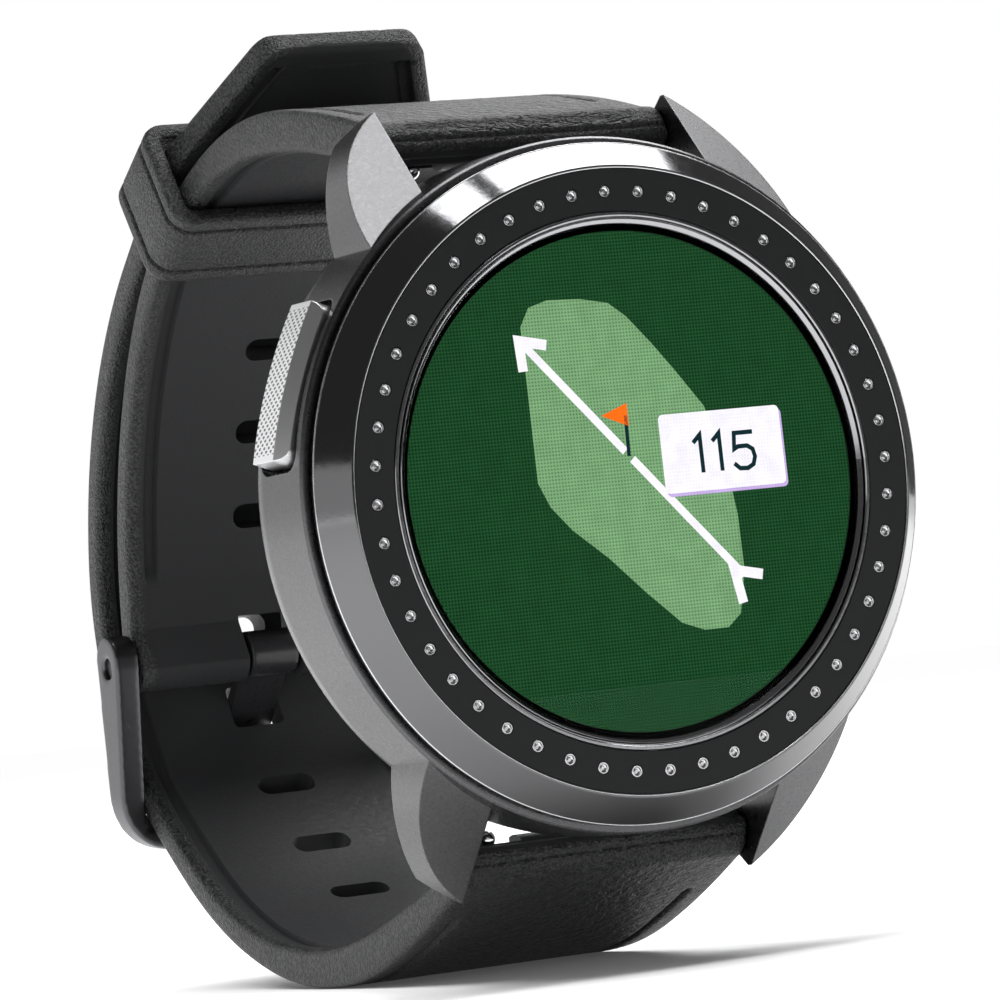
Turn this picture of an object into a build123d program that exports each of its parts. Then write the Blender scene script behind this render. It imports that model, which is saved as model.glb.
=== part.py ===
from build123d import *
import math
import os

# Golf GPS watch, buckled, in millimetres.
# X points to 3 o'clock, Y runs from the dial into the wrist, Z points to 12 o'clock.
# Everything is drawn from the dial plane (depth 0) and moved back at the end,
# so that the origin lies at the centre of the case back's flat face.

# ---- driving sizes -------------------------------------------------------
DOT_RING_R = 19.0            # radius of the ring of studs on the dial
DOTS = 48
LUG_GAP = 22.0               # standard strap width between the lugs
CASE_R = 23.0
BEZEL_R = 22.46
BEZEL_TOP_R = 20.62          # where the bezel's polished slope begins
SLOPE_DEPTH = 2.05
CASE_TOP = 2.75              # depth at which the case wall starts behind the bezel
BACK_DEPTH = 13.4            # depth of the case back's flat face
BAR_Y = 11.7                 # spring bar axis, depth and height
BAR_Z = 24.0
STRAP_HALF = 10.9            # half the strap's width
TUBE_R = 0.9                 # spring bar tube
TIP_R = 0.5
BUTTON_ANGLE = 158.3         # side button's place, degrees from 3 o'clock
BUTTON_HALF = 5.45           # half the button's length along the case wall
PIN_Y = 59.4                 # buckle pin axis, depth and height
PIN_Z = -7.9
PIN_R = 0.75
LOOP_Y = 28.785              # centre of the short strap's main arc
LOOP_Z = -1.72
LOOP_R = 30.5                # outer face of the short strap round that centre
KEEPER_ANGLE = 58.0          # keeper's place on that arc, degrees above +Y
SLOT_WIDTH = 4.6
SLOT_HEIGHT = 1.8
LONG_THICK = 2.1             # thickness of the long strap from the buckle to its tip
RUN = 0.05                   # radial clearance of what turns or slides

os.makedirs("parts", exist_ok=True)
BACK_TO_ORIGIN = Location((0, -BACK_DEPTH, 0))


# ---- helpers -------------------------------------------------------------
def save(name, shape):
    """Write one node, moved so that the case back's face is at Y = 0."""
    solids = [BACK_TO_ORIGIN * solid for solid in shape.solids()]
    export_step(solids[0] if len(solids) == 1 else Compound(children=solids), f"parts/{name}.step")


def turned(*corners):
    """Solid turned about the dial axis from (radius, depth) corners."""
    return revolve(make_face(Polyline(*corners, close=True)), Axis.Y)


def ring(inner, outer, front, back):
    return turned((inner, front), (outer, front), (outer, back), (inner, back))


def disc(radius, front, back):
    """Round plate about the dial axis."""
    return rod_y(0, 0, radius, front, back)


def rod_y(x, z, radius, front, back):
    """Cylinder along the depth axis."""
    place = Plane(origin=(x, front, z), z_dir=(0, 1, 0))
    return extrude(place * Circle(radius), amount=back - front)


def rod_x(y, z, radius, left, right):
    """Cylinder across the strap, from x = left to x = right."""
    place = Plane(origin=(left, y, z), z_dir=(1, 0, 0))
    return extrude(place * Circle(radius), amount=right - left)


def block(x, y, z):
    """Box between (low, high) pairs on the three axes."""
    size = [high - low for low, high in (x, y, z)]
    middle = [(low + high) / 2 for low, high in (x, y, z)]
    return Pos(*middle) * Box(*size)


def side_plate(edges, left, right):
    """Solid whose outline is drawn in the side plane (depth, height), from x = left to right."""
    face = make_face(edges)
    return Pos(left, 0, 0) * extrude(Plane.YZ * face, amount=right - left)


def heading_vector(degrees):
    return Vector(math.cos(math.radians(degrees)), math.sin(math.radians(degrees)))


def arc_chain(start, heading, arcs):
    """Tangent arcs, each (radius, degrees), positive turning left; returns edges, end and heading."""
    edges = []
    point = Vector(*start)
    for radius, turn in arcs:
        arc = JernArc(point, heading_vector(heading), radius, turn)
        edges.append(arc)
        point = arc @ 1
        heading += turn
    return edges, point, heading


def radial(angle, distance, depth=0.0):
    """Point on the case at an angle from 3 o'clock, seen from the front."""
    turn = math.radians(angle)
    return (distance * math.cos(turn), depth, distance * math.sin(turn))


# ---- dial and bezel ------------------------------------------------------
INSERT_IN = 17.68
INSERT_OUT = 20.5
INSERT_BACK = 0.9
STUD_R = 0.42
TRIM_IN = 16.82
LENS_R = 16.78
LENS_FRONT = 0.08
LENS_BACK = 0.58
DISPLAY_R = 16.42
DISPLAY_BACK = 1.5
SKIRT_BACK = 3.3            # depth of the bezel's plug in the case


def bezel_ring():
    """Polished ring with a wide slope and a skirt that plugs into the case."""
    return turned(
        (INSERT_OUT + 0.03, INSERT_BACK + 0.03),
        (INSERT_OUT + 0.03, 0.04),
        (BEZEL_TOP_R, -0.04),
        (BEZEL_TOP_R + 0.1, 0.0),
        (BEZEL_R - 0.04, SLOPE_DEPTH - 0.04),
        (BEZEL_R, SLOPE_DEPTH + 0.08),
        (BEZEL_R, SLOPE_DEPTH + 0.32),
        (BEZEL_R - 0.14, SLOPE_DEPTH + 0.42),
        (21.9, SLOPE_DEPTH + 0.42),
        (21.9, CASE_TOP),
        (21.6, CASE_TOP),
        (21.6, SKIRT_BACK),
        (20.6, SKIRT_BACK),
        (20.6, 1.95),
        (17.1, 1.95),
        (17.1, INSERT_BACK + 0.03),
    )


def stud_places():
    return [radial(90 + i * 360 / DOTS, DOT_RING_R) for i in range(DOTS)]


def bezel_insert():
    """Satin ring with a blind seat for every stud."""
    insert = turned(
        (INSERT_IN, 0.06),
        (INSERT_IN + 0.06, 0.0),
        (INSERT_OUT - 0.06, 0.0),
        (INSERT_OUT, 0.06),
        (INSERT_OUT, INSERT_BACK),
        (INSERT_IN, INSERT_BACK),
    )
    for x, _, z in stud_places():
        insert -= rod_y(x, z, STUD_R + 0.02, -0.1, 0.5)
    return insert


def bezel_studs():
    """Turned studs: a raised rim round a dimple with a small centre dot."""
    profile = Polyline(
        (0, 0.1), (0.1, 0.1), (0.16, 0.16), (0.24, 0.1), (0.3, 0.0),
        (0.37, 0.0), (STUD_R, 0.06), (STUD_R, 0.48), (0, 0.48), close=True,
    )
    stud = revolve(make_face(profile), Axis.Y)
    return Compound(children=[Pos(x, 0, z) * stud for x, _, z in stud_places()])


def lens_trim_ring():
    """Two polished steps with a fine groove between them, round the lens."""
    return turned(
        (TRIM_IN, 0.3),
        (TRIM_IN + 0.06, 0.22),
        (17.14, 0.04),
        (17.2, 0.1),
        (17.24, 0.3),
        (17.3, 0.3),
        (17.34, 0.04),
        (17.42, -0.03),
        (17.58, -0.03),
        (INSERT_IN - 0.03, 0.06),
        (INSERT_IN - 0.03, INSERT_BACK),
        (TRIM_IN, INSERT_BACK),
    )


def lens():
    return turned(
        (0, LENS_FRONT), (LENS_R - 0.1, LENS_FRONT), (LENS_R, LENS_FRONT + 0.08),
        (LENS_R, LENS_BACK), (0, LENS_BACK),
    )


# ---- case ----------------------------------------------------------------
CAVITY_R = 20.0
BACK_SEAT = 11.2             # depth of the ledge that the case back sits on
PLATE_R = 19.1
REBATE = SKIRT_BACK + 0.03    # depth of the seat for the bezel
BOSS_PCD_R = 16.9
BOSS_ANGLES = (45, 135, 225, 315)
LUG_IN = LUG_GAP / 2
LUG_OUTLINE_R = 10.83         # the lug's outer shoulder is an arc of this radius seen from the front
LUG_OUTLINE_X = 5.07
LUG_OUTLINE_Z = 17.2
LUG_ROOT_Z = 20.2             # height at which the three face depths below are given
LUG_BACK_Y = 13.1
LUG_FACE_Y = 4.6              # front face, with its slopes along X and Z
LUG_FACE_SLOPE = (0.36, 0.91)
LUG_REAR_Y = 12.25
LUG_REAR_SLOPE = (-0.55, 0.28)
LUG_TOP_Y = 19.06
LUG_TOP_SLOPE = (-0.5, -1.4)


def case_barrel():
    """Round middle case: vertical wall, rounded towards the wrist."""
    wall = [
        Line((CAVITY_R, REBATE), (21.63, REBATE)),
        Line((21.63, REBATE), (21.63, CASE_TOP + 0.03)),
        Line((21.63, CASE_TOP + 0.03), (CASE_R - 0.16, CASE_TOP + 0.03)),
        Line((CASE_R - 0.16, CASE_TOP + 0.03), (CASE_R, CASE_TOP + 0.18)),
        Line((CASE_R, CASE_TOP + 0.18), (CASE_R, 8.5)),
        ThreePointArc((CASE_R, 8.5), (22.03, 10.83), (19.7, 11.8)),
        Line((19.7, 11.8), (PLATE_R + 0.05, 11.8)),
        Line((PLATE_R + 0.05, 11.8), (PLATE_R + 0.05, BACK_SEAT)),
        Line((PLATE_R + 0.05, BACK_SEAT), (17.7, BACK_SEAT)),
        Line((17.7, BACK_SEAT), (17.7, 10.0)),
        Line((17.7, 10.0), (CAVITY_R, 9.0)),
        Line((CAVITY_R, 9.0), (CAVITY_R, REBATE)),
    ]
    return revolve(make_face(wall), Axis.Y)


def facet(depth, along_x, along_z, side):
    """Half space in front of (side -1) or behind (side 1) a plane that meets the lug root at this depth."""
    plane = Plane(origin=(LUG_IN, depth, LUG_ROOT_Z), z_dir=(-side * along_x, side, -side * along_z))
    return extrude(plane * Rectangle(90, 90), amount=40)


def lug(side, end):
    """Horn-shaped lug: a round-shouldered tooth from the front, cut back to sloping faces in depth."""
    level = Plane(origin=(LUG_OUTLINE_X, -2, LUG_OUTLINE_Z), x_dir=(1, 0, 0), z_dir=(0, 1, 0))
    horn = extrude(level * Circle(LUG_OUTLINE_R), amount=LUG_BACK_Y + 2)
    horn &= Pos(LUG_IN + 4, 5, 20) * Box(8, 20, 13)
    horn -= facet(LUG_FACE_Y, *LUG_FACE_SLOPE, -1)
    horn -= facet(LUG_REAR_Y, *LUG_REAR_SLOPE, 1)
    horn -= facet(LUG_TOP_Y, *LUG_TOP_SLOPE, 1)
    horn = horn if side > 0 else mirror(horn, Plane.YZ)
    return horn if end > 0 else mirror(horn, Plane.XY)


def button_frame(depth=0.0):
    """Plane at the button: its normal points straight out of the case wall."""
    out = radial(BUTTON_ANGLE, 1.0)
    return Plane(origin=(0, depth, 0), x_dir=(-out[2], 0, out[0]), z_dir=out)


BUTTON_Y = 6.2               # depth of the button's middle
RECESS_HALF = BUTTON_HALF + 0.42
RECESS_HIGH = 2.7            # half the recess's size along the depth axis
CAP_HIGH = 2.25
RECESS_FLOOR = 21.3
CAP_IN = 22.05
CAP_OUT = 23.85
CAP_CURVE_R = 36.0
STEM_R = 0.6
STEM_PLACES = (-3.2, 0.0, 3.2)


def button_prism(half, high, low, top, corner):
    """Rounded block standing on the button's plane between two distances from the axis."""
    sketch = RectangleRounded(2 * half, 2 * high, corner)
    return extrude(button_frame(BUTTON_Y).offset(low) * sketch, amount=top - low)


def stem_hole(offset, radius, low, top):
    place = button_frame(BUTTON_Y).offset(low)
    return extrude(place * Pos(offset, 0) * Circle(radius), amount=top - low)


def case_body():
    body = case_barrel()
    for side in (1, -1):
        for end in (1, -1):
            horn = lug(side, end)
            horn -= rod_y(0, 0, 20.4, -2, 15)
            horn -= rod_y(0, 0, 21.63, -2, REBATE)
            horn -= turned((0, -2), (24.78, -2), (22.88, 2.9), (0, 2.9))
            horn -= rod_x(BAR_Y, end * BAR_Z, TIP_R + RUN, -LUG_IN - 1.6, LUG_IN + 1.6)
            body += horn
    for angle in BOSS_ANGLES:
        x, _, z = radial(angle, BOSS_PCD_R)
        boss = rod_y(x, z, 1.7, 7.8, BACK_SEAT)
        boss += block_to_wall(angle)
        body += boss
    for angle in BOSS_ANGLES:
        x, _, z = radial(angle, BOSS_PCD_R)
        body -= rod_y(x, z, 0.62, 8.6, 12)
    body -= button_prism(RECESS_HALF, RECESS_HIGH, RECESS_FLOOR, 30, 1.3)
    for offset in STEM_PLACES:
        body -= stem_hole(offset, STEM_R + RUN, 15, 22)
        body -= stem_hole(offset, 1.2, RECESS_FLOOR - 0.65, 22)
    return body


def block_to_wall(angle):
    """Web that joins a screw boss to the case wall."""
    place = Plane(origin=radial(angle, BOSS_PCD_R, 9.5), x_dir=radial(angle, 1.0), z_dir=(0, 1, 0))
    return extrude(place * Pos(1.6, 0) * Rectangle(3.2, 2.4), amount=0.85, both=True)


# ---- side button ---------------------------------------------------------
def side_button():
    """Curved cap with bevelled edges, its middle post and two guide stems."""
    cap = button_prism(BUTTON_HALF, CAP_HIGH, CAP_IN, 26, 1.0)
    out = radial(BUTTON_ANGLE, CAP_OUT - CAP_CURVE_R, BUTTON_Y)
    profile = Polyline((0, -4), (CAP_CURVE_R - 0.85, -4), (CAP_CURVE_R - 0.85, -CAP_HIGH - 0.1),
                       (CAP_CURVE_R, -CAP_HIGH + 0.75), (CAP_CURVE_R, CAP_HIGH - 0.75),
                       (CAP_CURVE_R - 0.85, CAP_HIGH + 0.1), (CAP_CURVE_R - 0.85, 4), (0, 4), close=True)
    barrel = Pos(*out) * revolve(make_face(profile), Axis.Y)
    cap = cap & barrel
    for offset in STEM_PLACES:
        low = 18.0 if offset == 0 else 18.8
        cap += stem_hole(offset, STEM_R, low, CAP_IN + 0.1)
    return cap


def button_seals():
    """Rubber rings round the stems, in their counterbores."""
    rings = []
    for offset in STEM_PLACES:
        outer = stem_hole(offset, 1.17, RECESS_FLOOR - 0.62, RECESS_FLOOR - 0.05)
        rings.append(outer - stem_hole(offset, STEM_R + 0.02, 20, 22))
    return Compound(children=[piece.solids()[0] for piece in rings])


def button_clips():
    """Retaining clips on the guide stems, inside the case wall."""
    clips = []
    for offset in (STEM_PLACES[0], STEM_PLACES[2]):
        clips.append(stem_hole(offset, 1.15, 19.1, 19.4) - stem_hole(offset, STEM_R, 18, 20))
    return Compound(children=[piece.solids()[0] for piece in clips])


# ---- back ----------------------------------------------------------------
CONTACT_PITCH = 2.6
CONTACT_Z = -5.0
CONTACT_R = 0.85


def contact_places():
    return [((i - 1.5) * CONTACT_PITCH, CONTACT_Z) for i in range(4)]


def case_back():
    """Crowned plate with screw holes and a window for the contact block."""
    plate = turned(
        (0, BACK_SEAT + 0.02), (PLATE_R, BACK_SEAT + 0.02), (PLATE_R, 12.0), (18.7, 12.55),
        (17.6, 13.1), (15.0, BACK_DEPTH), (0, BACK_DEPTH),
    )
    plate -= ring(18.15, 18.95, BACK_SEAT - 0.1, BACK_SEAT + 0.5)
    for angle in BOSS_ANGLES:
        x, _, z = radial(angle, BOSS_PCD_R)
        plate -= rod_y(x, z, 0.75, 11, 14)
        plate -= rod_y(x, z, 1.3, 12.3, 14)
    plate -= contact_block_outline(0.02, 11, 14)
    return plate


def contact_block_outline(gap, front, back):
    place = Plane(origin=(0, front, CONTACT_Z), x_dir=(1, 0, 0), z_dir=(0, 1, 0))
    return extrude(place * RectangleRounded(11.6 + 2 * gap, 3.6 + 2 * gap, 1.6 + gap), amount=back - front)


def contact_block():
    block_shape = contact_block_outline(0.0, BACK_SEAT + 0.1, BACK_DEPTH - 0.1)
    for x, z in contact_places():
        block_shape -= rod_y(x, z, CONTACT_R + 0.01, 10, 14)
    return block_shape


def charging_contacts():
    pins = [rod_y(x, z, CONTACT_R, BACK_SEAT - 0.2, BACK_DEPTH - 0.16) for x, z in contact_places()]
    return Compound(children=[pin.solids()[0] for pin in pins])


def case_back_seal():
    return ring(18.2, 18.9, BACK_SEAT, BACK_SEAT + 0.45)


def case_back_screws():
    """Countersunk-style screws with a cross recess."""
    screws = []
    for angle in BOSS_ANGLES:
        x, _, z = radial(angle, BOSS_PCD_R)
        head = rod_y(x, z, 1.22, 12.32, 12.95)
        for size in ((1.5, 0.3), (0.3, 1.5)):
            head -= block((x - size[0] / 2, x + size[0] / 2), (12.65, 13.5),
                          (z - size[1] / 2, z + size[1] / 2))
        screws.append(head + rod_y(x, z, 0.6, 8.7, 12.4))
    return Compound(children=[screw.solids()[0] for screw in screws])


# ---- inside the case -----------------------------------------------------
def display_frame():
    """Moulded carrier behind the bezel that holds the display and the board."""
    frame = ring(16.55, 17.0, INSERT_BACK + 0.1, 3.0)
    frame += ring(15.0, 17.0, 3.0, 3.4)
    frame += ring(15.0, 19.5, 3.7, 4.1) + ring(15.0, 17.0, 3.3, 3.8)
    return frame


def main_board():
    board = disc(14.8, 4.4, 5.2)
    board -= block((-3.5, 3.5), (4, 6), (-16, -13.2))
    return board


def board_chips():
    """Processor, receiver, memory and power packages on the board's back."""
    sizes = [(-5.5, 5.5, 6.0, 6.0, 0.9), (3.5, 7.5, 5.0, 4.0, 0.8), (-7.0, -3.5, 4.0, 5.0, 0.8),
             (8.5, 1.0, 3.0, 4.2, 0.9), (2.0, 1.5, 2.6, 2.0, 0.6)]
    chips = [block((x - w / 2, x + w / 2), (5.2, 5.2 + t), (z - h / 2, z + h / 2))
             for x, z, w, h, t in sizes]
    return Compound(children=[chip.solids()[0] for chip in chips])


def gps_antenna():
    """Ceramic patch on the board's front."""
    return block((-6.0, 6.0), (1.9, 4.4), (2.4, 13.4))


def battery():
    place = Plane(origin=(0, 6.6, -1.2), x_dir=(1, 0, 0), z_dir=(0, 1, 0))
    return extrude(place * RectangleRounded(21.0, 17.0, 1.2), amount=4.2)


def vibration_can():
    """Round motor housing with a hollow for the off-centre weight."""
    can = rod_y(0, 12.2, 3.9, 6.0, 8.9)
    can -= rod_y(0, 12.2, 3.6, 6.35, 8.6)
    can += rod_y(0, 12.2, 0.4, 6.2, 8.7)
    return can


def vibration_weight():
    """Half-round tungsten weight that turns on the motor's spindle."""
    weight = rod_y(0, 12.2, 3.3, 6.8, 8.2)
    weight -= block((-4, 4), (6, 9), (12.2 + 0.9, 17))
    weight += rod_y(0, 12.2, 1.0, 6.8, 8.2)
    weight -= rod_y(0, 12.2, 0.4 + RUN, 6, 9)
    return weight


def display_flex():
    """Flat cable from the display, round the board's edge notch, to its connector."""
    outline = Polyline((1.72, -12.0), (1.72, -14.2), (5.35, -14.2), (5.35, -10.0), (5.2, -10.0),
                       (5.2, -14.05), (1.87, -14.05), (1.87, -12.0), close=True)
    return side_plate(outline, -3.0, 3.0)


def button_switch():
    """Tact switch standing on the board's edge, facing the button's middle post."""
    body = button_prism(2.2, 1.0, 13.0, 17.0, 0.2)
    return body - stem_hole(0, 0.75, 15.9, 18)


def switch_plunger():
    return stem_hole(0, 0.7, 16.4, 17.98)


# ---- spring bars ---------------------------------------------------------
BAR_HALF = 10.6
TIP_REACH = 12.3
TIP_TRAVEL = 1.45
KNOB_X = -8.0
KNOB_REACH = 1.65            # from the bar's axis towards the case


def bar_tube(end):
    tube = rod_x(BAR_Y, end * BAR_Z, TUBE_R, -BAR_HALF, BAR_HALF)
    tube -= rod_x(BAR_Y, end * BAR_Z, 0.6, -BAR_HALF - 1, 6.0)
    tube -= block((KNOB_X - 0.45, KNOB_X + 0.45 + TIP_TRAVEL), (BAR_Y - 0.4, BAR_Y + 0.4),
                  sorted((end * BAR_Z, end * (BAR_Z - 2))))
    return tube


def bar_fixed_tip(end):
    """Fixed shoulder and tip, pressed on the tube's right end."""
    return rod_x(BAR_Y, end * BAR_Z, TIP_R, BAR_HALF, TIP_REACH)


def bar_release(end):
    """Sliding tip with the small knob that pulls it back."""
    tip = rod_x(BAR_Y, end * BAR_Z, TIP_R, -TIP_REACH, -BAR_HALF + 0.5)
    tip += rod_x(BAR_Y, end * BAR_Z, 0.55, -BAR_HALF + 0.4, KNOB_X + 1.2)
    stem_z = sorted((end * BAR_Z, end * (BAR_Z - KNOB_REACH)))
    tip += block((KNOB_X - 0.3, KNOB_X + 0.3), (BAR_Y - 0.3, BAR_Y + 0.3), stem_z)
    knob = Pos(KNOB_X, BAR_Y, end * (BAR_Z - KNOB_REACH)) * Sphere(0.62)
    return tip + knob


def bar_spring(end):
    """Coil that pushes the sliding tip out, drawn as rings behind its travel."""
    rings = []
    for i in range(9):
        place = Plane(origin=(KNOB_X + 2.9 + i * 1.25, BAR_Y, end * BAR_Z), z_dir=(1, 0, 0))
        rings.append(place * Torus(0.42, 0.12))
    return Compound(children=[piece.solids()[0] for piece in rings])


# ---- straps --------------------------------------------------------------
SHORT_OUTER = dict(start=(12.6, 25.9), heading=16.45,
                   arcs=[(82.6, -8.5), (LOOP_R, -63.1), (41.5, -31.0)])
SHORT_INNER = dict(start=(12.5, 22.66), heading=19.3,
                   arcs=[(57.9, -17.5), (25.7, -48.7), (34.5, -40.0)])
LONG_OUTER = dict(start=(11.7, -25.9), heading=-26.0,
                  arcs=[(85.0, 7.5), (34.3, 57.7), (100.0, 3.4), (22.3, 58.2), (35.8, 40.0)])
LONG_BACK_ARCS = 2           # the first arcs of the long strap, where it is thicker
LONG_INNER_ARCS = [(29.0, -34.75), (37.6, -19.0), (114.0, -6.6)]
TAIL_LINE = 22.2             # straight end of the long strap
TAIL_TAPER = 11.5            # length over which the tip narrows
TAIL_END_HALF = 6.1
BULB_R = 1.95                # round the buckle pin
LUG_BULB_R = 1.75            # round the spring bar
NOTCH_HALF = 2.3


def short_strap_outline():
    outer, outer_end, _ = arc_chain(**SHORT_OUTER)
    inner, inner_end, _ = arc_chain(**SHORT_INNER)
    lug_end = Polyline(SHORT_OUTER["start"], (BAR_Y - 0.4, BAR_Z + 1.52), (BAR_Y - 0.4, BAR_Z - 1.65),
                       SHORT_INNER["start"])
    pin_end = Polyline(outer_end, (PIN_Y + 1.9, PIN_Z), (PIN_Y - 0.7, PIN_Z), inner_end)
    return outer + inner + lug_end.edges() + pin_end.edges()


def slot_prism(point, heading, height=SLOT_HEIGHT, corner=0.85):
    """Rounded slot cut square through the strap at a point of its side outline."""
    along = heading_vector(heading)
    place = Plane(origin=(0, point.X, point.Y), x_dir=(1, 0, 0), z_dir=(0, along.Y, -along.X))
    return extrude(place * RectangleRounded(SLOT_WIDTH, height, corner), amount=3.4, both=True)


def chain_point(chain, length):
    """Point and heading at a length along a chain of arcs."""
    heading = chain["heading"]
    point = Vector(*chain["start"])
    for radius, turn in chain["arcs"]:
        whole = radius * math.radians(abs(turn))
        part = min(length, whole)
        if part > 0:
            swing = math.copysign(math.degrees(part / radius), turn)
            point = JernArc(point, heading_vector(heading), radius, swing) @ 1
            heading += swing
        length -= part
    return point + heading_vector(heading) * max(length, 0), heading


SHORT_SLOTS = (46.3, 53.3, 60.1)   # along the outer face, from the lug
LONG_SLOTS = (39.1, 46.1, 53.1, 68.0, 75.2, 82.3, 89.4, 96.5)
TANG_SLOT = 61.1                   # the slot that the tang pulls open
TANG_SLOT_HEIGHT = 3.4


def short_strap():
    strap = side_plate(short_strap_outline(), -STRAP_HALF, STRAP_HALF)
    strap += rod_x(BAR_Y, BAR_Z, LUG_BULB_R, -STRAP_HALF, STRAP_HALF)
    strap += rod_x(PIN_Y, PIN_Z, BULB_R, -STRAP_HALF, STRAP_HALF)
    strap -= rod_x(BAR_Y, BAR_Z, TUBE_R + 0.02, -20, 20)
    strap -= rod_x(PIN_Y, PIN_Z, PIN_R + RUN, -20, 20)
    strap -= block((-NOTCH_HALF, NOTCH_HALF), (50, 70), (PIN_Z - 4, -5.0))
    strap -= release_notch(1)
    for length in SHORT_SLOTS:
        strap -= slot_prism(*chain_point(SHORT_OUTER, length))
    return strap


def release_notch(end):
    """Room in the strap's end for the knob of the spring bar."""
    x = (KNOB_X - 0.75, KNOB_X + 0.7 + TIP_TRAVEL)
    return block(x, (BAR_Y - 1.0, BAR_Y + 1.0), sorted((end * (BAR_Z - 0.3), end * (BAR_Z - 3))))


def long_strap_outline():
    """Outer chain forwards, a straight tail, then the inner chain back to the lug."""
    outer, outer_end, out_heading = arc_chain(**LONG_OUTER)
    along = heading_vector(out_heading)
    inward = heading_vector(out_heading + 90)
    tip = outer_end + along * TAIL_LINE
    thick_part = dict(LONG_OUTER, arcs=LONG_OUTER["arcs"][:LONG_BACK_ARCS])
    _, joint, joint_heading = arc_chain(**thick_part)
    inner_joint = joint + heading_vector(joint_heading + 90) * LONG_THICK
    thin_arcs = [(radius - LONG_THICK, turn) for radius, turn in LONG_OUTER["arcs"][LONG_BACK_ARCS:]]
    thin, thin_end, _ = arc_chain(inner_joint, joint_heading, thin_arcs)
    back, back_end, _ = arc_chain(inner_joint, joint_heading + 180, LONG_INNER_ARCS)
    straight = [Line(outer_end, tip), Line(tip, tip + inward * LONG_THICK),
                Line(tip + inward * LONG_THICK, thin_end)]
    in_bulb = (BAR_Y, -BAR_Z - 0.3)
    lug_end = [Line(back_end, in_bulb), Line(in_bulb, LONG_OUTER["start"])]
    return outer + straight + thin + back + lug_end


def tail_trim():
    """What is cut off each side of the tail to leave its tapered tip."""
    _, outer_end, heading = arc_chain(**LONG_OUTER)
    along = heading_vector(heading)
    tip = outer_end + along * TAIL_LINE
    place = Plane(origin=(0, tip.X, tip.Y), x_dir=(1, 0, 0), z_dir=(0, -along.Y, along.X))
    towards_tip = -1 if place.y_dir.dot(Vector(0, along.X, along.Y)) < 0 else 1
    corners = [(TAIL_END_HALF, 0.5), (TAIL_END_HALF, 0), (STRAP_HALF, -TAIL_TAPER),
               (STRAP_HALF + 1, -TAIL_TAPER), (STRAP_HALF + 1, 0.5)]
    outline = Polyline(*[(x, towards_tip * y) for x, y in corners], close=True)
    piece = extrude(place * make_face(outline), amount=6, both=True)
    return piece + mirror(piece, Plane.YZ)


def long_strap():
    strap = side_plate(long_strap_outline(), -STRAP_HALF, STRAP_HALF)
    strap += rod_x(BAR_Y, -BAR_Z, LUG_BULB_R, -STRAP_HALF, STRAP_HALF)
    strap -= rod_x(BAR_Y, -BAR_Z, TUBE_R + 0.02, -20, 20)
    strap -= release_notch(-1)
    strap -= tail_trim()
    for length in LONG_SLOTS:
        strap -= slot_prism(*chain_point(LONG_OUTER, length))
    strap -= slot_prism(*chain_point(LONG_OUTER, TANG_SLOT), height=TANG_SLOT_HEIGHT, corner=0.4)
    return strap


# ---- keeper --------------------------------------------------------------
KEEPER_LONG = 7.0
KEEPER_OPEN = (27.75, 34.45)
KEEPER_WALL = 1.25
KEEPER_OPEN_HALF = STRAP_HALF + 0.2


def keeper():
    """Free loop round both strap layers, its corners bevelled."""
    place = Plane(origin=(0, LOOP_Y, LOOP_Z),
                  x_dir=(1, 0, 0),
                  z_dir=(0, -math.sin(math.radians(KEEPER_ANGLE)), math.cos(math.radians(KEEPER_ANGLE))))
    middle = sum(KEEPER_OPEN) / 2
    high = KEEPER_OPEN[1] - KEEPER_OPEN[0]
    outward = 1 if place.y_dir.dot(Vector(0, 0, 1)) > 0 else -1
    centre = Pos(0, outward * middle)
    outer = centre * RectangleRounded(2 * (KEEPER_OPEN_HALF + KEEPER_WALL), high + 2 * KEEPER_WALL, 1.9)
    opening = centre * RectangleRounded(2 * KEEPER_OPEN_HALF, high, 0.5)
    return extrude(place * (outer - opening), amount=KEEPER_LONG / 2, both=True)


# ---- buckle --------------------------------------------------------------
ARM_IN = STRAP_HALF + 0.3
ARM_OUT = ARM_IN + 1.85
BAR_END = (60.6, -20.6)      # middle of the buckle's far bar, depth and height
BAR_ROUND = 1.0
TANG_HALF = 1.9
TANG_THICK = 1.0
TANG_BARREL_R = 1.7


def buckle_frame():
    """U-shaped frame: two tapering arms and the far bar, drawn from the front and the side."""
    outer = u_prism(ARM_OUT, BAR_END[1] - BAR_ROUND, 4.2)
    inner = u_prism(ARM_IN, BAR_END[1] + BAR_ROUND, 2.6)
    frame = (outer - inner) & arm_outline()
    bend = arc_chain(**LONG_OUTER)[0][3]
    room = bend.arc_center
    return frame - rod_x(room.X, room.Y, bend.radius + 0.25, -ARM_IN + 0.1, ARM_IN - 0.1)


def u_prism(half, low, corner):
    """Tall block with rounded lower corners at height low, deep enough for the whole buckle."""
    tall = 30.0
    place = Plane(origin=(0, 70, low + tall), x_dir=(1, 0, 0), z_dir=(0, -1, 0))
    return extrude(place * RectangleRounded(2 * half, 2 * tall, corner), amount=20)


def arm_outline():
    """Side view of the arms: round at the pin, slim at the far bar."""
    wide = 1.8
    ends = [(PIN_Y, PIN_Z, wide), (BAR_END[0], BAR_END[1], BAR_ROUND)]
    shape = None
    for y, z, radius in ends:
        end = rod_x(y, z, radius, -15, 15)
        shape = end if shape is None else shape + end
    flank = [(PIN_Y - wide, PIN_Z), (PIN_Y + wide, PIN_Z), (BAR_END[0] + BAR_ROUND, BAR_END[1]),
             (BAR_END[0] - BAR_ROUND, BAR_END[1])]
    shape += side_plate(Polyline(*flank, close=True), -15, 15)
    shape += rod_x(PIN_Y, PIN_Z + 0.55, wide, -15, 15)
    shape -= rod_x(PIN_Y, PIN_Z, PIN_R + 0.01, -15, 15)
    return shape


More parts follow.
